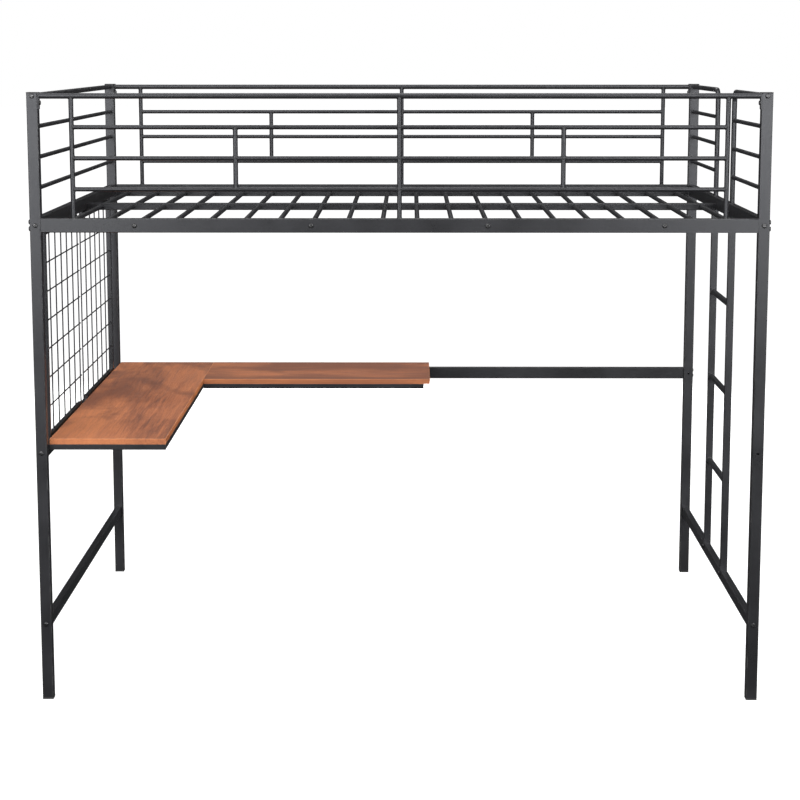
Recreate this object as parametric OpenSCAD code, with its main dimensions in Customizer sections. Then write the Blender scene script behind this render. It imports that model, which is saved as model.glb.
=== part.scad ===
// Loft bed with an L-shaped desk and a wire grid panel.
// Origin: centre of the footprint, on the floor. X runs along the bed, the ladder is at +X,
// Y runs from the open front to the back, Z is up. Millimetres.

/* [Overall] */
// Length over the posts, along X
bed_length = 1980; // [1900:10:2080]
// Depth over the posts, along Y
bed_depth = 1430; // [1380:10:1500]
// Height of the posts with their plugs
bed_height = 1670; // [1640:10:1750]

/* [Posts] */
// Outer width of the square post tube
post_w = 30; // [28:1:36]
// Wall of all the steel tubes
tube_wall = 1.5; // [1:0.1:2]
// Height of a foot cap below the post tube
foot_h = 5; // [3:1:10]

/* [Deck] */
// Thickness of the rails
rail_t = 20; // [18:1:24]
// Height of the rails
rail_h = 38; // [34:1:44]
// Top of the deck rails above the floor
deck_top = 1335; // [1300:5:1360]
// Diameter of a slat tube
slat_d = 14; // [12:1:16]
// Distance from slat to slat
slat_pitch = 97; // [90:1:98]
// Number of slats
slat_count = 20; // [16:2:20]
// Thickness of the angle that carries the slats
ledge_t = 2; // [2:0.5:3]
// Depth of the cross beam under the mattress, along Y
beam_w = 40; // [30:1:50]
// Height of the cross beam
beam_h = 20; // [18:1:22]
// Centre of the cross beam behind the middle of the bed
beam_y = 106; // [60:1:120]
// Distance between the bolts that hold a slat ledge
ledge_bolt_pitch = 473; // [450:1:480]

/* [Guardrails] */
// Diameter of the top tubes and of the bent end loops
guard_tube_d = 15; // [14:1:18]
// Diameter of the guard bars
guard_bar_d = 12; // [10:1:13]
// Diameter of the guard uprights
guard_upright_d = 13; // [12:0.5:14]
// Drop from the post top to the axis of the top tube
guard_top_drop = 10; // [9:1:14]
// Height of the lowest guard bar above the deck rail
guard_first = 77.5; // [60:0.5:90]
// Distance from guard bar to guard bar
guard_pitch = 82.5; // [70:0.5:90]
// Distance of the outer uprights from the middle
guard_outer_x = 873; // [800:1:900]
// Distance of the short uprights from the middle
guard_short_x = 437; // [380:1:480]
// Radius of the bend in an end loop, to its centre line
loop_bend_r = 30; // [24:1:45]
// Distance of a loop's vertical from the middle of the bed
loop_y = 160; // [150:1:200]

/* [Ladder] */
// Width of a ladder rail
ladder_rail_w = 20; // [18:1:24]
// Distance of a ladder rail's centre from the middle of the bed
ladder_y = 170; // [160:1:200]
// Diameter of a rung
rung_d = 18; // [16:1:22]
// Height of the lowest rung
rung_first = 502; // [480:1:520]
// Distance from rung to rung
rung_pitch = 267; // [250:1:270]
// Top of the lower braces
brace_top = 230; // [200:5:260]
// Height of a lower brace
brace_h = 30; // [26:1:36]

/* [Desk] */
// Top of the desk above the floor
desk_top = 730; // [700:5:760]
// Thickness of the boards
board_t = 16; // [15:1:20]
// Where the side board ends towards the middle, along X
desk_side_x = -640; // [-700:5:-600]
// Right end of the back board
desk_right_x = 93; // [60:1:200]
// Front edge of the back board
desk_back_y = 342; // [300:1:360]
// Width of the square tubes under the boards
desk_bar_w = 15; // [15:1:20]

/* [Grid panel] */
// Half of the panel's length between the outer uprights' centres
grid_half = 601; // [560:1:620]
// Width of the outer uprights
grid_post_w = 15; // [12:1:15]
// Width of the top and bottom bars
grid_bar_w = 12; // [10:1:15]
// Half of the break between the two halves' bars
bar_break = 56; // [40:1:60]
// Height of the top bar's centre
grid_top_z = 1286; // [1270:1:1288]
// Diameter of the wires
wire_d = 4; // [3:0.5:5]
// Distance between upright wires
wire_pitch_y = 95.5; // [80:0.5:96]
// Height of the lowest level wire above the bottom bar's centre
wire_first_z = 82; // [70:1:86]
// Distance between level wires
wire_pitch_z = 80; // [70:1:88]
// Upright wires in each half
wires_up = 6; // [4:1:6]
// Level wires in each half
wires_level = 6; // [4:1:6]

/* [Bolts] */
// Diameter of a bolt's shank
bolt_d = 6; // [5:1:6]
// Diameter of a bolt's round head
head_d = 13; // [11:1:14]
// Height of a bolt's head
head_h = 4; // [3:0.5:4]
// Distance between the two bolts that hold a rail's end
bolt_pair = 18; // [16:1:20]
// Width across the corners of the hex recess in a head
hex_d = 4.6; // [4:0.1:6]

/* [Hidden] */
$fn = 48;

// Colours
steel = [0.27, 0.27, 0.28];
plastic = [0.12, 0.12, 0.13];
wood = [0.62, 0.40, 0.28];
zinc = [0.20, 0.20, 0.21];

// Clearances and small plates
fit = 0.2;
tube_bore_l = 40;
bolt_hole_d = bolt_d + 0.6;
thread_hole_d = bolt_d + 0.2;
end_plate = 4;
guard_plate_t = 3;
guard_plate_h = 45;
guard_bolt_drop = 28;
socket_depth = 10;
foot_insert_h = 15;
plug_flange = 3;
plug_insert_h = 3;
insert_w = post_w - 2 * tube_wall - fit;

// Posts
post_x = (bed_length - post_w) / 2;
post_y = (bed_depth - post_w) / 2;
inner_x = bed_length / 2 - post_w;
inner_y = bed_depth / 2 - post_w;

// Deck rails: the long ones are flush with the posts, the short ones are on the post centres
rail_y = (bed_depth - rail_t) / 2;
rail_z = deck_top - rail_h / 2;
rail_inner_y = bed_depth / 2 - rail_t;
end_inner_x = post_x - rail_t / 2;
deck_bottom = deck_top - rail_h;
slat_z = deck_bottom + ledge_t + slat_d / 2;
slat_half = rail_inner_y - ledge_t;
slats_x = [for (i = [0:slat_count - 1]) (i - (slat_count - 1) / 2) * slat_pitch];
ledge_bolts_x = [for (i = [-3:2:3]) i * ledge_bolt_pitch / 2];

// Guardrails
guard_top_z = bed_height - guard_top_drop;
guard_bars_z = [for (i = [0:2]) deck_top + guard_first + i * guard_pitch];
guard_bolt_z = bed_height - guard_bolt_drop;
guard_half = inner_x - guard_plate_t;

// Ladder
ladder_tab_t = 3;
ladder_tab_reach = 15;
rungs_z = [for (i = [0:2]) rung_first + i * rung_pitch];
brace_z = brace_top - brace_h / 2;

// Desk
board_z = desk_top - board_t;
desk_rail_z = board_z - rail_h / 2;
desk_left_x = -end_inner_x;
board_gap = 8;
board_back_y = rail_y;
board_overhang = 20;
desk_bar_z = board_z - desk_bar_w / 2;
weld_gap = 0.3;

// Grid panel
grid_x = -post_x;
grid_bottom_z = board_z + grid_bar_w / 2;
grid_wire_bottom = grid_bottom_z + grid_bar_w / 2;
grid_wire_top = grid_top_z - grid_bar_w / 2;
wire_overlap = 0.6;

// Bolts
x_bolts_deck = [rail_z - bolt_pair / 2, rail_z + bolt_pair / 2];
x_bolts_desk = [desk_rail_z - bolt_pair / 2, desk_rail_z + bolt_pair / 2];
y_bolts = [brace_z, desk_rail_z, rail_z, guard_top_z];
frame_bolt_l = post_w + 14;
guard_bolt_l = 12;
tab_bolt_l = 10;
head_chamfer = 1.2;
hex_depth = 2;
nut_h = 5;
nut_d = 9;

SLATS = [for (i = [1:slat_count]) str("slat_", i < 10 ? "0" : "", i)];

// Round bar of length l along X, centred
module rod_x(l, d) {
    rotate([0, 90, 0]) cylinder(h = l, d = d, center = true);
}

// Round bar of length l along Y, centred
module rod_y(l, d) {
    rotate([90, 0, 0]) cylinder(h = l, d = d, center = true);
}

// Rectangular tube, centred, with a plate welded into both ends along axis run (0 is X, 1 is Y)
module plated_tube(size, run) {
    cavity = [for (i = [0:2]) size[i] - 2 * (i == run ? end_plate : tube_wall)];
    difference() {
        cube(size, center = true);
        cube(cavity, center = true);
    }
}

// Open rectangular tube from the origin up, h high
module open_tube_z(w, d, h) {
    difference() {
        translate([-w / 2, -d / 2, 0]) cube([w, d, h]);
        translate([-w / 2 + tube_wall, -d / 2 + tube_wall, -1])
            cube([w - 2 * tube_wall, d - 2 * tube_wall, h + 2]);
    }
}

// Bolt with its head's seat at the origin, its chamfered head towards -X and its shank along +X
module bolt(shank) {
    rotate([0, 90, 0])
        difference() {
            union() {
                translate([0, 0, -head_h])
                    cylinder(h = head_chamfer, d1 = head_d - 2 * head_chamfer, d2 = head_d);
                translate([0, 0, head_chamfer - head_h]) cylinder(h = head_h - head_chamfer, d = head_d);
                translate([0, 0, -head_h / 2]) cylinder(h = shank + head_h / 2, d = bolt_d);
            }
            translate([0, 0, -2 * head_h]) cylinder(h = head_h + hex_depth, d = hex_d, $fn = 6);
        }
}

// Post at side (-1 left, 1 right) and face (-1 front, 1 back), drilled for every bolt and bar
module post(side, face) {
    x_holes = face > 0 ? concat(x_bolts_deck, x_bolts_desk) : x_bolts_deck;
    color(steel)
        difference() {
            translate([side * post_x, face * post_y, foot_h])
                open_tube_z(post_w, post_w, bed_height - plug_flange - foot_h);
            for (z = x_holes)
                translate([side * post_x, face * rail_y, z]) rod_x(post_w + 2, bolt_hole_d);
            for (z = y_bolts)
                translate([side * post_x, face * post_y, z]) rod_y(post_w + 2, bolt_hole_d);
            translate([side * inner_x, face * rail_y, guard_bolt_z])
                rod_x(4 * tube_wall, bolt_hole_d);
            for (z = guard_bars_z)
                translate([side * post_x, face * inner_y, z])
                    rod_y(4 * tube_wall, guard_bar_d + fit);
        }
}

// Pushed-in plastic foot under each post
module foot_caps() {
    color(plastic)
        for (x = [-post_x, post_x], y = [-post_y, post_y])
            translate([x, y, 0]) {
                translate([-post_w / 2, -post_w / 2, 0]) cube([post_w, post_w, foot_h]);
                translate([-insert_w / 2, -insert_w / 2, 0])
                    cube([insert_w, insert_w, foot_h + foot_insert_h]);
            }
}

// Pushed-in plastic plug on top of each post
module post_plugs() {
    color(plastic)
        for (x = [-post_x, post_x], y = [-post_y, post_y])
            translate([x, y, bed_height - plug_flange]) {
                translate([-post_w / 2, -post_w / 2, 0]) cube([post_w, post_w, plug_flange]);
                translate([-insert_w / 2, -insert_w / 2, -plug_insert_h])
                    cube([insert_w, insert_w, plug_insert_h + plug_flange]);
            }
}

// Long deck rail between the posts, with the holes for the ledge bolts
module side_rail(face) {
    color(steel)
        difference() {
            translate([0, face * rail_y, rail_z]) plated_tube([2 * inner_x, rail_t, rail_h], 0);
            for (x = [-inner_x, inner_x], z = x_bolts_deck)
                translate([x, face * rail_y, z]) rod_x(2 * end_plate + 2, thread_hole_d);
            for (x = ledge_bolts_x)
                translate([x, face * rail_y, rail_z]) rod_y(rail_t + 2, bolt_hole_d);
        }
}

// Short deck rail between the posts, with the holes for the cross beam and the ladder
module end_rail(side) {
    color(steel)
        difference() {
            translate([side * post_x, 0, rail_z]) plated_tube([rail_t, 2 * inner_y, rail_h], 1);
            for (y = [-inner_y, inner_y])
                translate([side * post_x, y, rail_z]) rod_y(2 * end_plate + 2, thread_hole_d);
            translate([side * post_x, beam_y, slat_z]) rod_x(rail_t + 2, bolt_hole_d);
            if (side > 0)
                for (y = [-ladder_y, ladder_y])
                    translate([end_inner_x, y, deck_bottom + ladder_tab_reach / 2])
                        rod_x(4 * tube_wall, thread_hole_d);
        }
}

// Angle bolted inside a long rail: its level leg carries the slats' ends
module slat_ledge(face) {
    leg_y = face * (rail_inner_y - ledge_t / 2);
    flange_y = face * (rail_inner_y - rail_t / 2);
    color(steel)
        difference() {
            union() {
                translate([0, leg_y, rail_z]) cube([2 * inner_x, ledge_t, rail_h], center = true);
                translate([0, flange_y, deck_bottom + ledge_t / 2])
                    cube([2 * inner_x, rail_t, ledge_t], center = true);
            }
            for (x = ledge_bolts_x)
                translate([x, leg_y, rail_z]) rod_y(4 * ledge_t, bolt_hole_d);
        }
}

// Flat tube from end rail to end rail, drilled so that every slat runs through it
module cross_beam() {
    color(steel)
        difference() {
            translate([0, beam_y, slat_z]) plated_tube([2 * end_inner_x, beam_w, beam_h], 0);
            for (x = slats_x)
                translate([x, beam_y, slat_z]) rod_y(beam_w + 2, slat_d + fit);
            for (x = [-end_inner_x, end_inner_x])
                translate([x, beam_y, slat_z]) rod_x(2 * end_plate + 2, thread_hole_d);
        }
}

// Slat number i, a round tube from ledge to ledge
module slat(i) {
    color(steel)
        translate([slats_x[i], 0, slat_z])
            difference() {
                rod_y(2 * slat_half, slat_d);
                rod_y(2 * slat_half + 2, slat_d - 2 * tube_wall);
            }
}

// Top tube of a long guardrail with the plates that bolt to the posts
module guard_top(face) {
    color(steel)
        translate([0, face * rail_y, 0])
            difference() {
                union() {
                    translate([0, 0, guard_top_z]) rod_x(2 * guard_half, guard_tube_d);
                    for (side = [-1, 1])
                        translate([side * (guard_half + guard_plate_t / 2), 0,
                                   bed_height - guard_plate_h / 2])
                            cube([guard_plate_t, rail_t, guard_plate_h], center = true);
                }
                translate([0, 0, guard_top_z])
                    rod_x(2 * guard_half - 2, guard_tube_d - 2 * tube_wall);
                for (side = [-1, 1])
                    translate([side * inner_x, 0, guard_bolt_z])
                        rod_x(3 * guard_plate_t, bolt_hole_d);
            }
}

// Full-height uprights, mitred to the top tube, and the short ones between the outer bars
module guard_uprights(face) {
    top = guard_top_z - deck_top;
    color(steel)
        translate([0, face * rail_y, 0]) {
            for (x = [-guard_outer_x, 0, guard_outer_x])
                difference() {
                    translate([x, 0, deck_top]) cylinder(h = top, d = guard_upright_d);
                    translate([x, 0, guard_top_z]) rod_x(2 * guard_upright_d, guard_tube_d);
                }
            for (x = [-guard_short_x, guard_short_x])
                difference() {
                    translate([x, 0, guard_bars_z[0]])
                        cylinder(h = 2 * guard_pitch, d = guard_upright_d);
                    for (z = [guard_bars_z[0], guard_bars_z[2]])
                        translate([x, 0, z]) rod_x(2 * guard_upright_d, guard_bar_d);
                }
        }
}

// Level bars of a long guardrail, cut to fit round the uprights
module guard_bars(face) {
    color(steel)
        translate([0, face * rail_y, 0])
            difference() {
                for (z = guard_bars_z)
                    translate([0, 0, z]) rod_x(2 * guard_outer_x, guard_bar_d);
                for (x = [-guard_outer_x, 0, guard_outer_x])
                    translate([x, 0, deck_top]) cylinder(h = guard_top_z - deck_top, d = guard_upright_d);
                for (x = [-guard_short_x, guard_short_x])
                    translate([x, 0, guard_bars_z[1]])
                        cylinder(h = guard_pitch, d = guard_upright_d, center = true);
            }
}

// Left end: a top tube between the posts and three bars plugged into them
module guard_left_bars() {
    color(steel)
        translate([-post_x, 0, 0]) {
            difference() {
                translate([0, 0, guard_top_z]) rod_y(2 * inner_y, guard_tube_d);
                for (y = [-inner_y, inner_y])
                    translate([0, y, guard_top_z]) rod_y(tube_bore_l, thread_hole_d);
            }
            for (z = guard_bars_z)
                translate([0, 0, z]) rod_y(2 * (inner_y + socket_depth), guard_bar_d);
        }
}

// Bent tube from a right post, along the top and down to the end rail, for the front (face -1)
module right_loop(face) {
    run = inner_y - loop_y - loop_bend_r;
    drop = guard_top_z - loop_bend_r - deck_top;
    color(steel)
        difference() {
            translate([post_x, face * loop_y, 0]) {
                translate([0, face * (loop_bend_r + run / 2), guard_top_z]) rod_y(run, guard_tube_d);
                translate([0, face * loop_bend_r, guard_top_z - loop_bend_r])
                    rotate([90, 0, face * 90])
                        mirror([1, 0, 0])
                            rotate_extrude(angle = 90)
                                translate([loop_bend_r, 0]) circle(d = guard_tube_d);
                translate([0, 0, deck_top]) cylinder(h = drop, d = guard_tube_d);
            }
            translate([post_x, face * inner_y, guard_top_z]) rod_y(tube_bore_l, thread_hole_d);
        }
}

// Right end: three bars on each side of the ladder, from the post to the loop's vertical
module guard_right_bars() {
    reach = inner_y + socket_depth - loop_y;
    color(steel)
        difference() {
            for (face = [-1, 1], z = guard_bars_z)
                translate([post_x, face * (loop_y + reach / 2), z]) rod_y(reach, guard_bar_d);
            for (y = [-loop_y, loop_y])
                translate([post_x, y, deck_top]) cylinder(h = guard_top_z - deck_top, d = guard_tube_d);
        }
}

// Ladder rail between the brace and the end rail, with a bolted tab at each end
module ladder_rail(face) {
    rail_l = deck_bottom - brace_top;
    tab_l = 2 * ladder_tab_reach;
    color(steel)
        translate([post_x, face * ladder_y, 0]) {
            translate([0, 0, brace_top]) open_tube_z(ladder_rail_w, ladder_rail_w, rail_l);
            for (z = [brace_top, deck_bottom])
                difference() {
                    translate([-(ladder_rail_w + ladder_tab_t) / 2, 0, z])
                        cube([ladder_tab_t, ladder_rail_w, tab_l], center = true);
                    tab_hole_z = z == brace_top ? z - ladder_tab_reach / 2 : z + ladder_tab_reach / 2;
                    translate([-ladder_rail_w / 2, 0, tab_hole_z])
                        rod_x(3 * ladder_tab_t, bolt_hole_d);
                }
        }
}

// Rungs welded between the ladder rails
module ladder_rungs() {
    rung_l = 2 * ladder_y - ladder_rail_w;
    color(steel)
        for (z = rungs_z)
            translate([post_x, 0, z])
                difference() {
                    rod_y(rung_l, rung_d);
                    rod_y(rung_l + 2, rung_d - 2 * tube_wall);
                }
}

// Lower brace between the posts at one end
module brace(side) {
    color(steel)
        difference() {
            translate([side * post_x, 0, brace_z])
                plated_tube([rail_t, 2 * inner_y, brace_h], 1);
            for (y = [-inner_y, inner_y])
                translate([side * post_x, y, brace_z]) rod_y(2 * end_plate + 2, thread_hole_d);
            if (side > 0)
                for (y = [-ladder_y, ladder_y])
                    translate([end_inner_x, y, brace_top - ladder_tab_reach / 2])
                        rod_x(4 * tube_wall, thread_hole_d);
        }
}

// Side board of the desk, from the front post to the back rail
module desk_board_side() {
    color(wood)
        translate([desk_left_x + board_gap, -inner_y, board_z])
            cube([desk_side_x - desk_left_x - board_gap, inner_y + board_back_y, board_t]);
}

// Back board of the desk, butted against the side board
module desk_board_back() {
    color(wood)
        translate([desk_side_x, desk_back_y, board_z])
            cube([desk_right_x - desk_side_x, board_back_y - desk_back_y, board_t]);
}

// Square tube of the desk frame from corner a to corner b, seen from above
module desk_bar(a, b) {
    size = [abs(b[0] - a[0]), abs(b[1] - a[1]), desk_bar_w];
    run = size[0] > size[1] ? 0 : 1;
    translate([(a[0] + b[0]) / 2, (a[1] + b[1]) / 2, desk_bar_z]) plated_tube(size, run);
}

// Frame of square tubes that carries the boards on the side rail and the back rail
module desk_frame() {
    w = desk_bar_w;
    inner_left = desk_left_x + w;
    return_x = desk_right_x - board_overhang;
    color(steel) {
        desk_bar([desk_left_x, -inner_y], [desk_side_x, w - inner_y]);
        desk_bar([desk_left_x, w - inner_y + weld_gap], [inner_left, inner_y]);
        desk_bar([desk_side_x - w, w - inner_y + weld_gap], [desk_side_x, rail_inner_y]);
        desk_bar([desk_side_x + weld_gap, desk_back_y], [return_x, desk_back_y + w]);
        desk_bar([return_x - w, desk_back_y + w + weld_gap], [return_x, rail_inner_y]);
    }
}

// Rail under the side board, between the left posts
module desk_rail_side() {
    color(steel)
        difference() {
            translate([-post_x, 0, desk_rail_z]) plated_tube([rail_t, 2 * inner_y, rail_h], 1);
            for (y = [-inner_y, inner_y])
                translate([-post_x, y, desk_rail_z]) rod_y(2 * end_plate + 2, thread_hole_d);
        }
}

// Rail along the whole back, between the back posts
module desk_rail_back() {
    color(steel)
        difference() {
            translate([0, rail_y, desk_rail_z]) plated_tube([2 * inner_x, rail_t, rail_h], 0);
            for (x = [-inner_x, inner_x], z = x_bolts_desk)
                translate([x, rail_y, z]) rod_x(2 * end_plate + 2, thread_hole_d);
        }
}

// Outer uprights of the grid panel, between the desk rail and the end rail
module grid_uprights() {
    color(steel)
        for (y = [-grid_half, grid_half])
            translate([grid_x, y, board_z]) open_tube_z(grid_post_w, grid_post_w, deck_bottom - board_z);
}

// Top and bottom bars of the grid panel's two halves; the bottom ones lie on the desk rail
module grid_bars() {
    bar_end = grid_half - grid_post_w / 2;
    color(steel)
        for (face = [-1, 1], z = [grid_bottom_z, grid_top_z])
            translate([grid_x, face * (bar_end + bar_break) / 2, z])
                plated_tube([grid_bar_w, bar_end - bar_break, grid_bar_w], 1);
}

// Welded wires of one half of the grid panel: upright wires outside, level wires inside.
// An upright wire in the break between the bars stands on the desk rail and reaches the end rail.
module grid_wires(face) {
    outer_y = grid_half - grid_post_w / 2;
    inner_wire_y = grid_half - wires_up * wire_pitch_y;
    level_l = outer_y - inner_wire_y + wire_d / 2;
    shift = (wire_d - wire_overlap) / 2;
    color(steel)
        translate([grid_x, 0, 0]) {
            for (i = [1:wires_up]) {
                y = grid_half - i * wire_pitch_y;
                low = y < bar_break ? board_z : grid_wire_bottom;
                high = y < bar_break ? deck_bottom : grid_wire_top;
                translate([-shift, face * y, low]) cylinder(h = high - low, d = wire_d);
            }
            for (i = [0:wires_level - 1])
                translate([shift, face * (outer_y - level_l / 2),
                           grid_bottom_z + wire_first_z + i * wire_pitch_z])
                    rod_y(level_l, wire_d);
        }
}

// Bolts along X: through the posts into the long rails, and at the guard plates
module post_bolts_x() {
    color(zinc)
        for (side = [-1, 1], face = [-1, 1]) {
            heights = face > 0 ? concat(x_bolts_deck, x_bolts_desk) : x_bolts_deck;
            for (z = heights)
                translate([side * bed_length / 2, face * rail_y, z])
                    rotate([0, 0, side > 0 ? 180 : 0]) bolt(frame_bolt_l);
            translate([side * guard_half, face * rail_y, guard_bolt_z])
                rotate([0, 0, side > 0 ? 0 : 180]) bolt(guard_bolt_l);
        }
}

// Bolts along Y: through the posts into the end tubes, end rails, desk rail and braces
module post_bolts_y() {
    color(zinc)
        for (side = [-1, 1], face = [-1, 1]) {
            heights = [for (z = y_bolts) if (side < 0 || z != desk_rail_z) z];
            for (z = heights)
                translate([side * post_x, face * bed_depth / 2, z])
                    rotate([0, 0, -face * 90]) bolt(frame_bolt_l);
        }
}

// Bolts of the deck: ledges to long rails with nuts, beam to end rails, ladder tabs
module deck_bolts() {
    ledge_bolt_l = rail_t + ledge_t + nut_h + 2;
    nut_y = rail_inner_y - ledge_t - nut_h / 2;
    color(zinc) {
        for (face = [-1, 1], x = ledge_bolts_x) {
            translate([x, face * bed_depth / 2, rail_z]) rotate([0, 0, -face * 90]) bolt(ledge_bolt_l);
            translate([x, face * nut_y, rail_z])
                difference() {
                    rod_y(nut_h, nut_d);
                    rod_y(2 * nut_h, thread_hole_d);
                }
        }
        for (side = [-1, 1])
            translate([side * (post_x + rail_t / 2), beam_y, slat_z])
                rotate([0, 0, side > 0 ? 180 : 0]) bolt(rail_t + tab_bolt_l);
        for (y = [-ladder_y, ladder_y], z = [brace_top - ladder_tab_reach / 2,
                                             deck_bottom + ladder_tab_reach / 2])
            translate([end_inner_x - ladder_tab_t, y, z]) bolt(tab_bolt_l);
    }
}

post(-1, -1);  // post_front_left
post(1, -1);  // post_front_right
post(-1, 1);  // post_back_left
post(1, 1);  // post_back_right
foot_caps();
post_plugs();
side_rail(-1);  // side_rail_front
side_rail(1);  // side_rail_back
end_rail(-1);  // end_rail_left
end_rail(1);  // end_rail_right
slat_ledge(-1);  // slat_ledge_front
slat_ledge(1);  // slat_ledge_back
cross_beam();
guard_top(-1);  // guard_front_top
guard_uprights(-1);  // guard_front_uprights
guard_bars(-1);  // guard_front_bars
guard_top(1);  // guard_back_top
guard_uprights(1);  // guard_back_uprights
guard_bars(1);  // guard_back_bars
guard_left_bars();
right_loop(-1);  // guard_right_loop_front
right_loop(1);  // guard_right_loop_back
guard_right_bars();
ladder_rail(-1);  // ladder_rail_front
ladder_rail(1);  // ladder_rail_back
ladder_rungs();
brace(-1);  // brace_left
brace(1);  // brace_right
desk_board_side();
desk_board_back();
desk_frame();
desk_rail_side();
desk_rail_back();
grid_uprights();
grid_bars();
grid_wires(-1);  // grid_wires_front
grid_wires(1);  // grid_wires_back
post_bolts_x();
post_bolts_y();
deck_bolts();
for (i = [0:slat_count - 1])
    slat(i);
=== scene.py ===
"""Looks of the loft bed with desk: rounded tubes, welds, bolts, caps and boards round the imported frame."""

import math
from collections import namedtuple

import bmesh
import bpy
from mathutils import Matrix, Vector, noise


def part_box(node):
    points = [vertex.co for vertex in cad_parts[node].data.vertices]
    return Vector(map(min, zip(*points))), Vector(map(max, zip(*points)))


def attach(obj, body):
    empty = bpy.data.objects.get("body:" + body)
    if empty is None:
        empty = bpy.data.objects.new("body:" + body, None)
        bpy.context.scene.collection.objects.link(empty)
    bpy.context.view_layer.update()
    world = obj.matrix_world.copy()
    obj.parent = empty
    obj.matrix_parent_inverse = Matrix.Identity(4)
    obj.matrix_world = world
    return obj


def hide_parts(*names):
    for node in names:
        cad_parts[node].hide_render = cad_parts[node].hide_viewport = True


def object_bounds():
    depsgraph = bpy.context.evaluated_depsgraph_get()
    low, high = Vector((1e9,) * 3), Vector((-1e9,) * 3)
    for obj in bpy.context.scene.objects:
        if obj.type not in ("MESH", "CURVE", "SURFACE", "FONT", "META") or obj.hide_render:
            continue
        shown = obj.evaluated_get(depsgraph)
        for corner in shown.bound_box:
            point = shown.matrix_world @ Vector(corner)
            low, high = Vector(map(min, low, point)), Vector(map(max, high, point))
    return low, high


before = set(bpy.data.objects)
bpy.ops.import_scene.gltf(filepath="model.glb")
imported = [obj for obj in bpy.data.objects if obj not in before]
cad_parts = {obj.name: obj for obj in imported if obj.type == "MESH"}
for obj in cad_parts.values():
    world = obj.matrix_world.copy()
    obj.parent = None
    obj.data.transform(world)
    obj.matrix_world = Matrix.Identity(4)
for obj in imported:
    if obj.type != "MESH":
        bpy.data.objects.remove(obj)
cad_low, cad_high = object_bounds()

# ---------------------------------------------------------------- sizes, in metres

BODY = "root"
MERGE_DISTANCE = 1e-5
FLAT_ANGLE = math.radians(0.4)
SHARP_ANGLE = math.radians(60)
SMOOTH_ANGLE = math.radians(32)

POST_CORNER = 0.0026
TUBE_CORNER = 0.0020
SMALL_TUBE_CORNER = 0.0014
PLATE_CORNER = 0.0006
BOARD_CORNER = 0.0011
CAP_CORNER = 0.0010
SHORTEST_TUBE_EDGE = 0.15
SHORTEST_PLATE_EDGE = 0.004
CORNER_SEGMENTS = 4
FLAT_NORMAL = 0.9

BEAD_RADIUS = 0.0013
WIRE_BEAD_RADIUS = 0.0006
BEAD_STEPS = 48
BEAD_SIDES = 8
BEAD_DROPS = 12
BEAD_RIPPLE = 0.16
BEAD_UNEVEN = 0.22
BEAD_NOISE_SCALE = 260
GUARD_PLATE = 0.003
WIRE_RADIUS = 0.002

BOLT_SIDES = 36
BOLT_DOME_STEPS = 5
BOLT_SHANK_RADIUS = 0.003
BOLT_HEX_RADIUS = 0.0024
BOLT_HEX_DEPTH = 0.0022
BOLT_RIM_HEIGHT = 0.0013
BOLT_CROWN_RADIUS = 0.0036
SHORTEST_BOLT = 0.0135
NUT_RIM_SHARE = 0.12

# ---------------------------------------------------------------- colours and gloss

FRAME_COAT = 0.0155
FRAME_ROUGHNESS = 0.325
BAR_COAT = 0.0145
BAR_ROUGHNESS = 0.32
WELD_COAT = 0.016
WORN_COAT = 0.05
COOL_SHEEN = (0.93, 0.95, 1.0, 1)
COAT_SPECULAR = 0.36
WOOD_SPECULAR = 0.40

WoodTones = namedtuple("WoodTones", "dark middle light worn")
LAMINATE = WoodTones(
    dark=(0.160, 0.058, 0.033, 1),
    middle=(0.370, 0.128, 0.055, 1),
    light=(0.530, 0.192, 0.078, 1),
    worn=(0.64, 0.28, 0.12, 1),
)
# Painted light: a lighter, more even copy of the wood tones for the boards' side faces, as if they caught
# more of the front lamps than the tops.
PAINTED_LIT_SIDE_TONES = WoodTones(
    dark=(0.24, 0.075, 0.028, 1),
    middle=(0.38, 0.126, 0.044, 1),
    light=(0.46, 0.160, 0.058, 1),
    worn=(0.56, 0.24, 0.11, 1),
)
SIDE_BOARD_SHIFT = 0.0
BACK_BOARD_SHIFT = 7.4

# ---------------------------------------------------------------- light, in metres and watts

WORLD_COLOUR = (0.97, 0.98, 1.0, 1)
WORLD_FLOOR = 0.02
WORLD_TOP = 0.50
WORLD_RISE = (0.05, 0.9)
WORLD_BEHIND = 0.12
WORLD_TURN = (0.4, -0.5)
FLOOR_REACH = 60.0
FLOOR_TONE = (0.38, 0.42)
FLOOR_ROUGHNESS = 0.9
FLOOR_GLOW = 0.86
FLOOR_NEAR = 2.5
FLOOR_FAR = 7.0

FRONT_X = 2.45
FRONT_Y = -4.6
FRONT_RISE = 0.6
FRONT_SIZE = (3.0, 3.2)
FRONT_POWER = 240
OVERHEAD_Y = -0.8
OVERHEAD_RISE = 2.4
OVERHEAD_SIZE = (3.2, 2.0)
OVERHEAD_POWER = 90
BEHIND_Y = 3.6
BEHIND_RISE = 2.6
BEHIND_SIZE = (3.0, 1.4)
BEHIND_POWER = 40
FILL_X = 4.6
FILL_Y = 4.8
FILL_SIZE = (2.8, 1.6)
FILL_POWER = 190
SIDE_SHEEN = 28
BACK_SHEEN = 12

# ---------------------------------------------------------------- camera

CAMERA_PLACE = (0.030, -6.141, 1.776)
CAMERA_PITCH = 8.85
CAMERA_YAW = 0.3
CAMERA_LENS = 91.42
CAMERA_SENSOR = 36.0
CAMERA_SHIFT = -0.04

# ---------------------------------------------------------------- nodes by what they are made of

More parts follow.
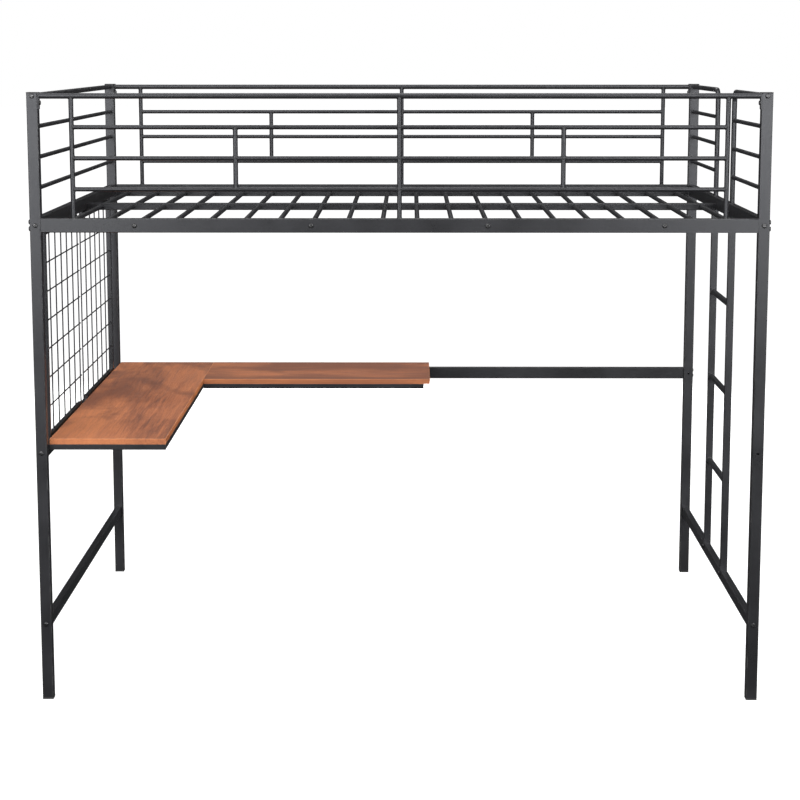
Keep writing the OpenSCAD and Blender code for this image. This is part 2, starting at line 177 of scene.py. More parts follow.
SLATS = [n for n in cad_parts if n.startswith("slat_") and n[5:].isdigit()]
POSTS = [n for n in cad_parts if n.startswith("post_") and n.endswith(("left", "right"))]
RAILS = [
    "side_rail_front", "side_rail_back", "end_rail_left", "end_rail_right", "cross_beam",
    "brace_left", "brace_right", "desk_rail_side", "desk_rail_back",
]
LADDER_RAILS = ["ladder_rail_front", "ladder_rail_back"]
SMALL_TUBES = ["desk_frame", "grid_uprights", "grid_bars"]
PLATES = ["slat_ledge_front", "slat_ledge_back", "guard_front_top", "guard_back_top"]
ROUND_BARS = SLATS + [
    "guard_front_uprights", "guard_front_bars", "guard_back_uprights", "guard_back_bars",
    "guard_left_bars", "guard_right_loop_front", "guard_right_loop_back", "guard_right_bars",
    "ladder_rungs",
]
WIRES = ["grid_wires_front", "grid_wires_back"]
BOLTS = ["post_bolts_x", "post_bolts_y", "deck_bolts"]

Bar = namedtuple("Bar", "centre axis half radius")


# ---------------------------------------------------------------- reading the frame


def cad_bmesh(node):
    """A bmesh of a CAD node, with its split vertices joined and its flat faces whole again."""
    bm = bmesh.new()
    bm.from_mesh(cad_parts[node].data)
    bmesh.ops.remove_doubles(bm, verts=bm.verts, dist=MERGE_DISTANCE)
    bmesh.ops.dissolve_limit(bm, angle_limit=FLAT_ANGLE, verts=bm.verts, edges=bm.edges)
    return bm


def groups(verts):
    """The vertices in lists, one for each connected group among them."""
    left = set(verts)
    found = []
    while left:
        stack = [left.pop()]
        group = []
        while stack:
            vert = stack.pop()
            group.append(vert)
            near = {e.other_vert(vert) for e in vert.link_edges} & left
            left -= near
            stack.extend(near)
        found.append(group)
    return sorted(found, key=lambda g: tuple(round(c, 4) for c in middle(g)))


def corners(verts):
    """Lowest and highest corner of some vertices."""
    low = Vector([min(v.co[i] for v in verts) for i in range(3)])
    high = Vector([max(v.co[i] for v in verts) for i in range(3)])
    return low, high


def middle(verts):
    """Centre of the box round some vertices."""
    low, high = corners(verts)
    return (low + high) / 2


def solids(node):
    """The box of each separate solid of a CAD node, as (low, high, vertex positions)."""
    bm = cad_bmesh(node)
    found = [(*corners(group), [v.co.copy() for v in group]) for group in groups(bm.verts)]
    bm.free()
    return found


def bars(node):
    """Each separate straight bar of a CAD node."""
    found = []
    for low, high, _ in solids(node):
        size = high - low
        axis = max(range(3), key=lambda i: size[i])
        found.append(Bar((low + high) / 2, axis, size[axis] / 2, min(size) / 2))
    return found


def rims(node, axis, level):
    """Centres of the bar ends of a CAD node that lie in one plane."""
    bm = cad_bmesh(node)
    on_plane = [v for v in bm.verts if abs(v.co[axis] - level) < MERGE_DISTANCE]
    found = [middle(group) for group in groups(on_plane)]
    bm.free()
    return found


def unit(axis, sign=1):
    """Unit vector along axis 0, 1 or 2."""
    vector = Vector((0, 0, 0))
    vector[axis] = sign
    return vector


# ---------------------------------------------------------------- making pieces


def add_piece(name, bm, materials, slot, *replaced):
    """Turns a bmesh into a shaded piece that rides on the frame."""
    mesh = bpy.data.meshes.new(name)
    bm.to_mesh(mesh)
    bm.free()
    mesh.polygons.foreach_set("use_smooth", [True] * len(mesh.polygons))
    mesh.set_sharp_from_angle(angle=SMOOTH_ANGLE)
    for material in materials:
        mesh.materials.append(material)
    piece = bpy.data.objects.new(name, mesh)
    bpy.context.scene.collection.objects.link(piece)
    normals = piece.modifiers.new("normals", "WEIGHTED_NORMAL")
    normals.keep_sharp = True
    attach(piece, BODY)
    if replaced:
        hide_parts(*replaced)
    return piece


def sharp_edges(bm, shortest):
    """The convex, sharp and straight edges of at least that length."""
    return [
        e for e in bm.edges
        if len(e.link_faces) == 2
        and e.is_convex
        and e.calc_length() >= shortest
        and e.calc_face_angle() > SHARP_ANGLE
    ]


def round_edges(bm, edges, radius):
    """Rounds edges, and marks the middle of each rounding in the edge layer that the materials read."""
    layer = bm.verts.layers.float.get("edge") or bm.verts.layers.float.new("edge")
    made = bmesh.ops.bevel(
        bm, geom=edges, offset=radius, segments=CORNER_SEGMENTS, profile=0.5,
        affect="EDGES", clamp_overlap=True, material=-1,
    )
    rounding = set(made["faces"])
    for vert in made["verts"]:
        if all(f in rounding or f.calc_area() < radius * radius for f in vert.link_faces):
            vert[layer] = 1.0


def rounded(node, radius, shortest, material, slot, word):
    """A CAD node with its long corners rounded."""
    bm = cad_bmesh(node)
    round_edges(bm, sharp_edges(bm, shortest), radius)
    return add_piece(f"{node}_{word}", bm, [material], slot, node)


def smooth_bars(node, material, slot):
    """A CAD node of round bars, shaded smooth."""
    return add_piece(f"{node}_steel", cad_bmesh(node), [material], slot, node)


# ---------------------------------------------------------------- welds


def add_bead(bm, path, radius):
    """A closed weld bead along path, with the ripples of a run of weld drops."""
    centre = sum(path, Vector()) / len(path)
    count = len(path)
    rings = []
    for i, point in enumerate(path):
        tangent = (path[(i + 1) % count] - path[i - 1]).normalized()
        outward = point - centre
        outward = (outward - outward.dot(tangent) * tangent).normalized()
        across = tangent.cross(outward)
        size = radius * (1 + BEAD_RIPPLE * math.cos(math.tau * BEAD_DROPS * i / count))
        size *= 1 + BEAD_UNEVEN * noise.noise(point * BEAD_NOISE_SCALE)
        ring = []
        for k in range(BEAD_SIDES):
            angle = math.tau * k / BEAD_SIDES
            ring.append(bm.verts.new(point + size * (math.cos(angle) * outward + math.sin(angle) * across)))
        rings.append(ring)
    for i, ring in enumerate(rings):
        other = rings[(i + 1) % count]
        for k in range(BEAD_SIDES):
            after = (k + 1) % BEAD_SIDES
            bm.faces.new((ring[k], ring[after], other[after], other[k]))


def joint_path(foot, towards, bar_radius, host_axis, host_radius):
    """The line where a round bar meets a round host, whose axis passes through foot, or a flat face."""
    along_host = unit(host_axis)
    third = towards.cross(along_host)
    path = []
    for i in range(BEAD_STEPS):
        angle = math.tau * i / BEAD_STEPS
        aside = bar_radius * math.sin(angle)
        back = math.sqrt(max(0.0, host_radius ** 2 - aside ** 2)) if host_radius else 0.0
        path.append(foot + bar_radius * math.cos(angle) * along_host + aside * third - back * towards)
    return path


def host_of(end, axis, hosts):
    """The host bar whose axis passes closest to a bar's end, if it is near enough to be welded to."""
    best = None
    for host in hosts:
        if host.axis == axis:
            continue
        offset = end - host.centre
        along = offset[host.axis]
        offset[host.axis] = 0
        if offset.length <= host.radius + MERGE_DISTANCE and abs(along) <= host.half + host.radius:
            best = host
    return best


def weld_ends(bm, welded, hosts):
    """Beads at the ends of bars where they meet a host bar."""
    for bar in welded:
        for sign in (-1, 1):
            towards = unit(bar.axis, sign)
            end = bar.centre + bar.half * towards
            host = host_of(end, bar.axis, hosts)
            if host:
                foot = end.copy()
                foot[bar.axis] = host.centre[bar.axis]
                path = joint_path(foot, towards, bar.radius, host.axis, host.radius)
                add_bead(bm, path, BEAD_RADIUS)


def weld_flat(bm, centre, axis, bar_radius, radius=BEAD_RADIUS):
    """A bead round a bar that ends on a flat face."""
    side = (axis + 1) % 3
    add_bead(bm, joint_path(centre, unit(axis), bar_radius, side, 0), radius)


def level_hosts(level):
    """The level bars, each long enough to count as a host over a cut for an upright."""
    return [Bar(b.centre, b.axis, b.half + b.radius, b.radius) for b in level]


def guard_welds(face, material):
    """Welds of a long guardrail: bars, uprights, top tube and end plates."""
    bm = bmesh.new()
    loop_low, loop_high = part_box("guard_right_loop_front")
    top_radius = (loop_high.x - loop_low.x) / 2
    plate_low, plate_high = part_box(f"guard_{face}_top")
    top_y = (plate_low.y + plate_high.y) / 2
    top_half = plate_high.x - GUARD_PLATE
    top = Bar(Vector((0, top_y, loop_high.z - top_radius)), 0, top_half, top_radius)
    uprights = bars(f"guard_{face}_uprights")
    level = bars(f"guard_{face}_bars")
    weld_ends(bm, level, uprights)
    short = [u for u in uprights if u.centre.z + u.half < top.centre.z - top_radius]
    weld_ends(bm, short, level_hosts(level))
    weld_ends(bm, [u for u in uprights if u not in short], [top])
    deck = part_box(f"side_rail_{face}")[1].z
    for upright in uprights:
        if upright not in short:
            weld_flat(bm, Vector((upright.centre.x, top_y, deck)), 2, upright.radius)
    for sign in (-1, 1):
        weld_flat(bm, Vector((sign * top_half, top_y, top.centre.z)), 0, top_radius)
    add_piece(f"guard_{face}_welds", bm, [material], "frame_steel")


def right_end_welds(material):
    """Welds of the loops beside the ladder: their bars, and their feet on the end rail."""
    bm = bmesh.new()
    hosts = []
    for face, sign in (("front", -1), ("back", 1)):
        low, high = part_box(f"guard_right_loop_{face}")
        radius = (high.x - low.x) / 2
        near = min(abs(low.y), abs(high.y))
        centre = Vector(((low.x + high.x) / 2, sign * (near + radius), (low.z + high.z) / 2))
        hosts.append(Bar(centre, 2, (high.z - low.z) / 2, radius))
        weld_flat(bm, Vector((centre.x, centre.y, low.z)), 2, radius)
    weld_ends(bm, bars("guard_right_bars"), hosts)
    add_piece("guard_right_welds", bm, [material], "frame_steel")


def ladder_welds(material):
    """Welds at the ends of the rungs."""
    bm = bmesh.new()
    for rung in bars("ladder_rungs"):
        for sign in (-1, 1):
            weld_flat(bm, rung.centre + sign * rung.half * unit(1), 1, rung.radius)
    add_piece("ladder_welds", bm, [material], "frame_steel")


def grid_welds(face, material):
    """Welds of a wire panel on the bars and the upright round it."""
    bm = bmesh.new()
    node = f"grid_wires_{face}"
    low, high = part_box(node)
    bars_low, bars_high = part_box("grid_bars")
    bar_width = bars_high.x - bars_low.x
    outer = low.y if abs(low.y) > abs(high.y) else high.y
    ends = [(2, z) for z in (low.z, bars_low.z + bar_width, bars_high.z - bar_width, high.z)]
    for axis, level in ends + [(1, outer)]:
        for centre in rims(node, axis, level):
            weld_flat(bm, centre, axis, WIRE_RADIUS, WIRE_BEAD_RADIUS)
    add_piece(f"grid_{face}_welds", bm, [material], "wire_steel")


# ---------------------------------------------------------------- bolts


def ring(bm, radius, height, hexagon=False):
    """A ring of vertices round Z, or the outline of a hexagon with as many vertices."""
    verts = []
    for i in range(BOLT_SIDES):
        angle = math.tau * i / BOLT_SIDES
        size = radius
        if hexagon:
            turn = angle % (math.pi / 3) - math.pi / 6
            size = radius * math.cos(math.pi / 6) / math.cos(turn)
        verts.append(bm.verts.new((size * math.cos(angle), size * math.sin(angle), height)))
    return verts


def skin(bm, rings):
    """Quads from each ring to the next, and a face over the first and the last."""
    for first, second in zip(rings, rings[1:]):
        for i in range(BOLT_SIDES):
            after = (i + 1) % BOLT_SIDES
            bm.faces.new((first[i], first[after], second[after], second[i]))
    bm.faces.new(list(reversed(rings[0])))
    bm.faces.new(rings[-1])


def dome(radius, height):
    """Radius and height of each step of a button head, from its seat to its crown."""
    steps = [(radius, 0.0), (radius, BOLT_RIM_HEIGHT)]
    for i in range(1, BOLT_DOME_STEPS + 1):
        turn = math.pi / 2 * i / BOLT_DOME_STEPS
        steps.append((
            BOLT_CROWN_RADIUS + (radius - BOLT_CROWN_RADIUS) * math.cos(turn),
            BOLT_RIM_HEIGHT + (height - BOLT_RIM_HEIGHT) * math.sin(turn),
        ))
    return steps


def bolt_mesh(head_radius, head_height, shank):
    """A button-head bolt with a hex socket: seat at the origin, head towards +Z, shank towards -Z."""
    bm = bmesh.new()
    rings = [ring(bm, BOLT_SHANK_RADIUS, -shank), ring(bm, BOLT_SHANK_RADIUS, 0)]
    rings += [ring(bm, r, h) for r, h in dome(head_radius, head_height)]
    for drop in (0.0, BOLT_HEX_DEPTH):
        rings.append(ring(bm, BOLT_HEX_RADIUS, head_height - drop, hexagon=True))
    skin(bm, rings)
    return bm


def nut_mesh(radius, height):
    """A round nut with rounded rims, its middle at the origin."""
    bm = bmesh.new()
    rim = height * NUT_RIM_SHARE
    heights = [(radius - rim, -height / 2), (radius, -height / 2 + rim)]
    heights += [(radius, height / 2 - rim), (radius - rim, height / 2)]
    skin(bm, [ring(bm, r, h) for r, h in heights])
    return bm


def put(bm, part, place, direction):
    """Adds a part mesh at place, its +Z turned towards direction."""
    turn = Vector((0, 0, 1)).rotation_difference(direction).to_matrix().to_4x4()
    part.transform(Matrix.Translation(place) @ turn)
    mesh = bpy.data.meshes.new("part")
    part.to_mesh(mesh)
    part.free()
    bm.from_mesh(mesh)
    bpy.data.meshes.remove(mesh)


def detailed_bolts(node, material):
    """Button-head bolts, and nuts, where the CAD node has its plain ones."""
    bm = bmesh.new()
    for low, high, points in solids(node):
        size = high - low
        centre = (low + high) / 2
        if max(size) < SHORTEST_BOLT:
            axis = min(range(3), key=lambda i: size[i])
            put(bm, nut_mesh(max(size) / 2, size[axis]), centre, unit(axis))
            continue
        axis = max(range(3), key=lambda i: size[i])
        head_radius = min(size) / 2
        seat = Vector(centre)
        wide = []
        for point in points:
            offset = point - centre
            offset[axis] = 0
            if offset.length > head_radius - MERGE_DISTANCE:
                wide.append(point[axis])
        sign = 1 if sum(wide) / len(wide) > centre[axis] else -1
        seat[axis] = min(wide) if sign > 0 else max(wide)
        tip = low[axis] if sign > 0 else high[axis]
        top = high[axis] if sign > 0 else low[axis]
        bolt = bolt_mesh(head_radius, abs(top - seat[axis]), abs(seat[axis] - tip))
        put(bm, bolt, seat, unit(axis, sign))
    add_piece(f"{node}_detailed", bm, [material], "bolt_steel", node)


# ---------------------------------------------------------------- materials


NOISE_SPAN = (0.3, 0.7)
MIX_INPUTS = (0, 6, 7)
MIX_OUTPUT = 2


class Shader:
    """Short calls for one material's nodes."""

    def __init__(self, name):
        self.material = bpy.data.materials.new(name)
        self.material.use_nodes = True
        self.tree = self.material.node_tree
        self.bsdf = self.tree.nodes["Principled BSDF"]
        self.place = self.add("ShaderNodeTexCoord").outputs["Object"]

    def add(self, kind, **settings):
        """A new node with these settings."""
        node = self.tree.nodes.new(kind)
        for key, value in settings.items():
            setattr(node, key, value)
        return node

    def plug(self, socket, value):
        """Links an input to another node's output, or sets it to a number or colour."""
        if isinstance(value, bpy.types.NodeSocket):
            self.tree.links.new(value, socket)
        else:
            socket.default_value = value

    def feed(self, node, **inputs):
        """Plugs a node's inputs by name, with _ for a space."""
        for key, value in inputs.items():
            self.plug(node.inputs[key.replace("_", " ")], value)
        return node

    def stretched(self, scale, shift=0.0):
        """The place on the object, scaled by a different number along X, Y and Z, then shifted."""
        node = self.add("ShaderNodeMapping", vector_type="POINT")
        self.feed(node, Vector=self.place, Scale=scale, Location=(shift, shift, shift))
        return node.outputs["Vector"]

    def noise(self, vector, scale, detail=2.0, roughness=0.5, distortion=0.0):
        """A noise from 0 to 1."""
        node = self.feed(
            self.add("ShaderNodeTexNoise"), Vector=vector, Scale=scale, Detail=detail,
            Roughness=roughness, Distortion=distortion,
        )
        return node.outputs["Fac"]

    def fit(self, value, given, wanted=(0, 1)):
        """A value mapped from a given range to the wanted one, and held inside it."""
        node = self.add("ShaderNodeMapRange")
        self.feed(node, Value=value, From_Min=given[0], From_Max=given[1])
        self.feed(node, To_Min=wanted[0], To_Max=wanted[1])
        return node.outputs["Result"]

    def maths(self, operation, first, second):
        """The result of a Math node."""
        node = self.add("ShaderNodeMath", operation=operation)
        for socket, value in zip(node.inputs, (first, second)):
            self.plug(socket, value)
        return node.outputs["Value"]

    def weighted(self, *parts):
        """The sum of some values, each times its share."""
        total, *rest = [self.maths("MULTIPLY", value, share) for value, share in parts]
        for scaled in rest:
            total = self.maths("ADD", total, scaled)
        return total

    def mix(self, share, first, second):
        """Two colours mixed by a share."""
        node = self.add("ShaderNodeMix", data_type="RGBA")
        for index, value in zip(MIX_INPUTS, (share, first, second)):
            self.plug(node.inputs[index], value)
        return node.outputs[MIX_OUTPUT]

    def ramp(self, value, stops):
        """A colour ramp of (position, colour) stops."""
        node = self.add("ShaderNodeValToRGB")
        elements = node.color_ramp.elements
        while len(elements) < len(stops):
            elements.new(1.0)
        for element, (position, colour) in zip(elements, stops):
            element.position = position
            element.color = colour
        return self.feed(node, Fac=value).outputs["Color"]

    def bump(self, height, distance, strength, under=None):
        """A bump of at most that distance in metres, over an earlier one if given."""
        node = self.feed(self.add("ShaderNodeBump"), Height=height, Distance=distance, Strength=strength)
        if under:
            self.feed(node, Normal=under)
        return node.outputs["Normal"]

    def edge(self):
        """1 in the middle of a rounded edge, and 0 elsewhere."""
        return self.add("ShaderNodeAttribute", attribute_name="edge").outputs["Fac"]


def grey(value, blue=0.0):
    """A neutral colour, a little bluer if asked."""
    return (value, value, value + blue, 1)


def powder_coat(name, base, roughness):
    """Satin powder coat: fine orange peel, faint clouds, and thin brighter coating on the edges."""
    s = Shader(name)
    clouds = s.noise(s.place, scale=9, detail=3)
    specks = s.noise(s.place, scale=420)
    peel = s.noise(s.place, scale=700, roughness=0.45)
    waves = s.noise(s.place, scale=130)
    wear_noise = s.fit(s.noise(s.place, scale=60, detail=5, roughness=0.6), (0.44, 0.62))
    wear = s.maths("MULTIPLY", s.edge(), wear_noise)
    colour = s.mix(s.fit(clouds, NOISE_SPAN), grey(base * 0.82, 0.001), grey(base * 1.18, 0.002))
    colour = s.mix(s.fit(specks, (0.62, 0.75), (0, 0.5)), colour, grey(base * 1.7, 0.002))
    colour = s.mix(wear, colour, grey(WORN_COAT))
    cloud_rough = s.fit(clouds, NOISE_SPAN, (roughness - 0.04, roughness + 0.04))
    rough = s.maths("ADD", cloud_rough, s.fit(specks, NOISE_SPAN, (-0.03, 0.03)))
    rough = s.maths("SUBTRACT", rough, s.maths("MULTIPLY", wear, 0.12))
    wavy = s.bump(waves, distance=0.0001, strength=0.25)
    normal = s.bump(peel, distance=0.00006, strength=0.5, under=wavy)
    s.bsdf.inputs["Specular Tint"].default_value = COOL_SHEEN
    s.bsdf.inputs["Specular IOR Level"].default_value = COAT_SPECULAR
    s.feed(s.bsdf, Base_Color=colour, Roughness=rough, Normal=normal)
    return s.material


def weld_coat(name, base):
    """Powder coat over a weld: rougher, with fine spatter."""
    s = Shader(name)
    spatter = s.noise(s.place, scale=900, detail=3, roughness=0.6)
    clouds = s.noise(s.place, scale=60)
    colour = s.mix(s.fit(clouds, NOISE_SPAN), grey(base * 0.7), grey(base * 1.3, 0.002))
    rough = s.fit(spatter, NOISE_SPAN, (0.42, 0.6))
    normal = s.bump(spatter, distance=0.00015, strength=0.7)
    s.feed(s.bsdf, Base_Color=colour, Roughness=rough, Normal=normal)
    return s.material


def blackened_steel(name):
    """Bolts: blackened steel with faint turning marks and rubbed rims."""
    s = Shader(name)
    marks = s.noise(s.place, scale=1500, detail=3, roughness=0.6)
    rubbed = s.fit(s.noise(s.place, scale=300, detail=4, roughness=0.6), (0.5, 0.68))
    colour = s.mix(rubbed, grey(0.035, 0.001), grey(0.14, 0.004))
    rough = s.fit(marks, NOISE_SPAN, (0.26, 0.44))
    normal = s.bump(marks, distance=0.00003, strength=0.4)
    s.bsdf.inputs["Metallic"].default_value = 0.85
    s.feed(s.bsdf, Base_Color=colour, Roughness=rough, Normal=normal)
    return s.material


def moulded_plastic(name):
    """Caps: matt black plastic with a fine spark-eroded grain."""
    s = Shader(name)
    grain = s.noise(s.place, scale=1300, detail=3, roughness=0.6)
    clouds = s.noise(s.place, scale=45)
    scuffs = s.fit(s.noise(s.place, scale=110, detail=5, roughness=0.7), (0.58, 0.7), (0, 0.6))
    colour = s.mix(s.fit(clouds, NOISE_SPAN), grey(0.012), grey(0.022, 0.001))
    colour = s.mix(s.maths("MULTIPLY", scuffs, s.edge()), colour, grey(0.07))
    rough = s.fit(grain, NOISE_SPAN, (0.5, 0.68))
    normal = s.bump(grain, distance=0.00008, strength=0.6)
    s.feed(s.bsdf, Base_Color=colour, Roughness=rough, Normal=normal)
    return s.material


def along_grain(grain_axis, along, across):
    """Scales for a noise that is stretched along the grain."""
    return tuple(along if i == grain_axis else across for i in range(3))


def laminate_wood(name, grain_axis, shift, tones):
    """Reddish-brown wood laminate: broad soft bands, straight streaks, fine pores, darker patches."""
    s = Shader(name)

    def figure_noise(along, across, detail, roughness, distortion=0.0, moved=shift):
        """A noise with so many features per metre along the grain and across it."""
        place = s.stretched(along_grain(grain_axis, along, across), moved)
        return s.noise(place, 1, detail, roughness, distortion)

    broad = figure_noise(0.9, 5, detail=3, roughness=0.5, distortion=0.4)
    streaks = figure_noise(2.2, 55, detail=6, roughness=0.7, distortion=0.15)
    fine = figure_noise(9, 260, detail=4, roughness=0.65, moved=0.0)
    pores = figure_noise(40, 1500, detail=3, roughness=0.6, moved=0.0)
    blotch = figure_noise(2.6, 6, detail=4, roughness=0.55, distortion=0.5)
    figure = s.weighted((broad, 0.38), (streaks, 0.36), (fine, 0.26))
    colour = s.ramp(figure, [(0.39, tones.dark), (0.50, tones.middle), (0.61, tones.light)])
    colour = s.mix(s.fit(blotch, (0.40, 0.54), (0.78, 0)), colour, tones.dark)
    colour = s.mix(s.fit(pores, (0.54, 0.66), (0, 0.50)), colour, tones.dark)
    wear = s.maths("MULTIPLY", s.edge(), s.fit(streaks, (0.4, 0.6), (0.3, 0.9)))
    colour = s.mix(wear, colour, tones.worn)
    streak_rough = s.fit(streaks, NOISE_SPAN, (0.50, 0.62))
    rough = s.maths("ADD", streak_rough, s.fit(pores, (0.5, 0.7), (0, 0.12)))
    streaky = s.bump(streaks, distance=0.00025, strength=0.2)
    normal = s.bump(pores, distance=0.00010, strength=0.35, under=streaky)
    s.bsdf.inputs["Specular IOR Level"].default_value = WOOD_SPECULAR
    s.feed(s.bsdf, Base_Color=colour, Roughness=rough, Normal=normal)
    return s.material


# ---------------------------------------------------------------- building the object


def board(node, grain_axis, shift):
    """A board with eased edges: wood laminate on its top and bottom faces, and a lighter copy of the
    laminate painted on its side faces round its edges, as painted light.
    """
    bm = cad_bmesh(node)
    round_edges(bm, sharp_edges(bm, SHORTEST_PLATE_EDGE), BOARD_CORNER)
    for face in bm.faces:
        face.material_index = 0 if abs(face.normal.z) > FLAT_NORMAL else 1
    top = laminate_wood(f"{node}_laminate", grain_axis, shift, LAMINATE)
    # Painted light: the side faces get the lighter copy of the wood, as if lit more than the top.
    painted_lit_wood = laminate_wood(f"{node}_painted_lit_sides", grain_axis, shift, PAINTED_LIT_SIDE_TONES)
    add_piece(f"{node}_wood", bm, [top, painted_lit_wood], "desk_wood", node)


def build_steel():
    """All the powder-coated tubes, plates, bars and wires, and their welds."""
    coat = powder_coat("frame_powder_coat", FRAME_COAT, FRAME_ROUGHNESS)
    bar_coat = powder_coat("bar_powder_coat", BAR_COAT, BAR_ROUGHNESS)
    bead_coat = weld_coat("weld_powder_coat", WELD_COAT)
    for node in POSTS:
        rounded(node, POST_CORNER, SHORTEST_TUBE_EDGE, coat, "frame_steel", "steel")
    for node in RAILS + LADDER_RAILS:
        rounded(node, TUBE_CORNER, SHORTEST_TUBE_EDGE, coat, "frame_steel", "steel")
    for node in SMALL_TUBES:
        rounded(node, SMALL_TUBE_CORNER, SHORTEST_TUBE_EDGE, coat, "frame_steel", "steel")
    for node in PLATES:
        rounded(node, PLATE_CORNER, SHORTEST_PLATE_EDGE, coat, "frame_steel", "steel")
    for node in ROUND_BARS:
        smooth_bars(node, bar_coat, "frame_steel")
    for node in WIRES:
        smooth_bars(node, bar_coat, "wire_steel")
    for face in ("front", "back"):
        guard_welds(face, bead_coat)
        grid_welds(face, bead_coat)
    right_end_welds(bead_coat)
    ladder_welds(bead_coat)


def build_fittings():
    """Plastic feet and plugs, and all the bolts."""
    plastic = moulded_plastic("cap_plastic_grain")
    steel = blackened_steel("bolt_blackened")
    for node in ("foot_caps", "post_plugs"):
        rounded(node, CAP_CORNER, SHORTEST_PLATE_EDGE, plastic, "cap_plastic", "plastic")
    for node in BOLTS:
        detailed_bolts(node, steel)


def build_desk():
    """The two boards, each with its grain along its length, cut from different places in the wood."""
    board("desk_board_side", 1, SIDE_BOARD_SHIFT)
    board("desk_board_back", 0, BACK_BOARD_SHIFT)


# ---------------------------------------------------------------- stage, lights and camera


def add_floor():
    """A plain pale floor that only the camera sees, so that it doesn't light the bed from below."""
    bm = bmesh.new()
    corners_xy = ((-1, -1), (1, -1), (1, 1), (-1, 1))
    bm.faces.new([bm.verts.new((x * FLOOR_REACH, y * FLOOR_REACH, cad_low.z)) for x, y in corners_xy])
    mesh = bpy.data.meshes.new("floor")
    bm.to_mesh(mesh)
    bm.free()
    floor = bpy.data.objects.new("floor", mesh)
    bpy.context.scene.collection.objects.link(floor)
    s = Shader("floor_paint")
    tone = s.fit(s.noise(s.place, scale=0.6), NOISE_SPAN, FLOOR_TONE)
    distance = s.feed(s.add("ShaderNodeVectorMath", operation="LENGTH"), Vector=s.place)
    glow = s.fit(distance.outputs["Value"], (FLOOR_NEAR, FLOOR_FAR), (FLOOR_GLOW, 1.0))
    shade = s.add("ShaderNodeCombineColor")
    s.feed(shade, Red=tone, Green=tone, Blue=tone)
    s.bsdf.inputs["Roughness"].default_value = FLOOR_ROUGHNESS
    s.bsdf.inputs["Specular IOR Level"].default_value = 0.0
    s.bsdf.inputs["Emission Color"].default_value = (1, 1, 1, 1)
    s.feed(s.bsdf, Base_Color=shade.outputs["Color"], Emission_Strength=glow)
    mesh.materials.append(s.material)
    floor.visible_diffuse = False
    floor.visible_glossy = False


def add_world():
    """White to the camera. To the object, a studio that is bright above and in front, and dim elsewhere."""
    world = bpy.data.worlds.new("studio")
    bpy.context.scene.world = world
    world.use_nodes = True
    tree = world.node_tree
    tree.nodes.clear()
    output = tree.nodes.new("ShaderNodeOutputWorld")
    choose = tree.nodes.new("ShaderNodeMixShader")
    seen = tree.nodes.new("ShaderNodeBackground")
    light = tree.nodes.new("ShaderNodeBackground")
    path = tree.nodes.new("ShaderNodeLightPath")
    direction = tree.nodes.new("ShaderNodeTexCoord")
    split = tree.nodes.new("ShaderNodeSeparateXYZ")
    upwards = tree.nodes.new("ShaderNodeMapRange")
    forwards = tree.nodes.new("ShaderNodeMapRange")
    both = tree.nodes.new("ShaderNodeMath")
    seen.inputs["Color"].default_value = (1, 1, 1, 1)
    light.inputs["Color"].default_value = WORLD_COLOUR
    both.operation = "MULTIPLY_ADD"
    both.inputs[2].default_value = WORLD_FLOOR
    ranges = (
        (upwards, WORLD_RISE, (0.0, WORLD_TOP)),
        (forwards, WORLD_TURN, (WORLD_BEHIND, 1.0)),
    )
    for node, given, wanted in ranges:
        for name, value in zip(("From Min", "From Max", "To Min", "To Max"), given + wanted):
            node.inputs[name].default_value = value
    tree.links.new(direction.outputs["Generated"], split.inputs["Vector"])
    tree.links.new(split.outputs["Z"], upwards.inputs["Value"])
    tree.links.new(split.outputs["Y"], forwards.inputs["Value"])
    tree.links.new(upwards.outputs["Result"], both.inputs[0])
    tree.links.new(forwards.outputs["Result"], both.inputs[1])
    tree.links.new(both.outputs["Value"], light.inputs["Strength"])
    tree.links.new(path.outputs["Is Camera Ray"], choose.inputs["Fac"])
    tree.links.new(light.outputs["Background"], choose.inputs[1])
    tree.links.new(seen.outputs["Background"], choose.inputs[2])
    tree.links.new(choose.outputs["Shader"], output.inputs["Surface"])


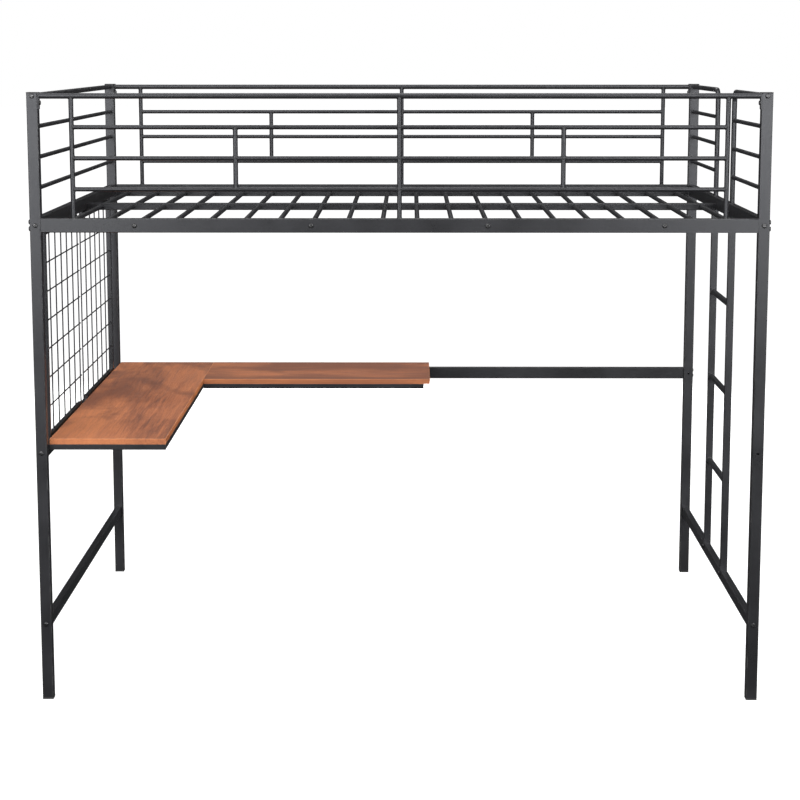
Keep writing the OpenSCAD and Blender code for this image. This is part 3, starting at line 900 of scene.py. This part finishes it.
def add_softbox(name, place, aim, size, power, gloss=True):
    """A rectangular area light that the camera doesn't see, with or without a reflection in the bed."""
    data = bpy.data.lights.new(name, "AREA")
    data.shape = "RECTANGLE"
    data.size, data.size_y = size
    data.energy = power
    lamp = bpy.data.objects.new(name, data)
    lamp.location = place
    lamp.rotation_euler = (Vector(aim) - Vector(place)).to_track_quat("-Z", "Y").to_euler()
    lamp.visible_camera = False
    lamp.visible_glossy = gloss
    bpy.context.scene.collection.objects.link(lamp)


def add_lights():
    """Two softboxes in front, one overhead, a weak one behind, and matt fill with a faint sheen."""
    centre = (cad_low + cad_high) / 2
    top = cad_high.z
    overhead = (0, OVERHEAD_Y, top + OVERHEAD_RISE)
    behind = (0, BEHIND_Y, top + BEHIND_RISE)
    for side, x in (("left", -FRONT_X), ("right", FRONT_X)):
        add_softbox(f"softbox_{side}", (x, FRONT_Y, top + FRONT_RISE), centre, FRONT_SIZE, FRONT_POWER)
    add_softbox("softbox_top", overhead, centre, OVERHEAD_SIZE, OVERHEAD_POWER)
    add_softbox("softbox_back", behind, centre, BEHIND_SIZE, BEHIND_POWER)
    fills = (
        ("left", (-FILL_X, 0, centre.z), SIDE_SHEEN),
        ("right", (FILL_X, 0, centre.z), SIDE_SHEEN),
        ("back", (0, FILL_Y, centre.z), BACK_SHEEN),
    )
    for side, place, sheen in fills:
        add_softbox(f"fill_{side}", place, centre, FILL_SIZE, FILL_POWER, gloss=False)
        add_softbox(f"sheen_{side}", place, centre, FILL_SIZE, sheen)


def add_camera():
    """The photograph's viewing angle, with only as much shift as keeps the bed in every other view."""
    data = bpy.data.cameras.new("camera")
    data.lens = CAMERA_LENS
    data.sensor_width = CAMERA_SENSOR
    data.shift_y = CAMERA_SHIFT
    camera = bpy.data.objects.new("camera", data)
    camera.location = CAMERA_PLACE
    camera.rotation_euler = (math.radians(90 - CAMERA_PITCH), 0, math.radians(CAMERA_YAW))
    bpy.context.scene.collection.objects.link(camera)
    bpy.context.scene.camera = camera


add_camera()
build_steel()
build_fittings()
build_desk()
add_floor()
add_world()
add_lights()
bpy.context.scene.view_settings.view_transform = "Standard"
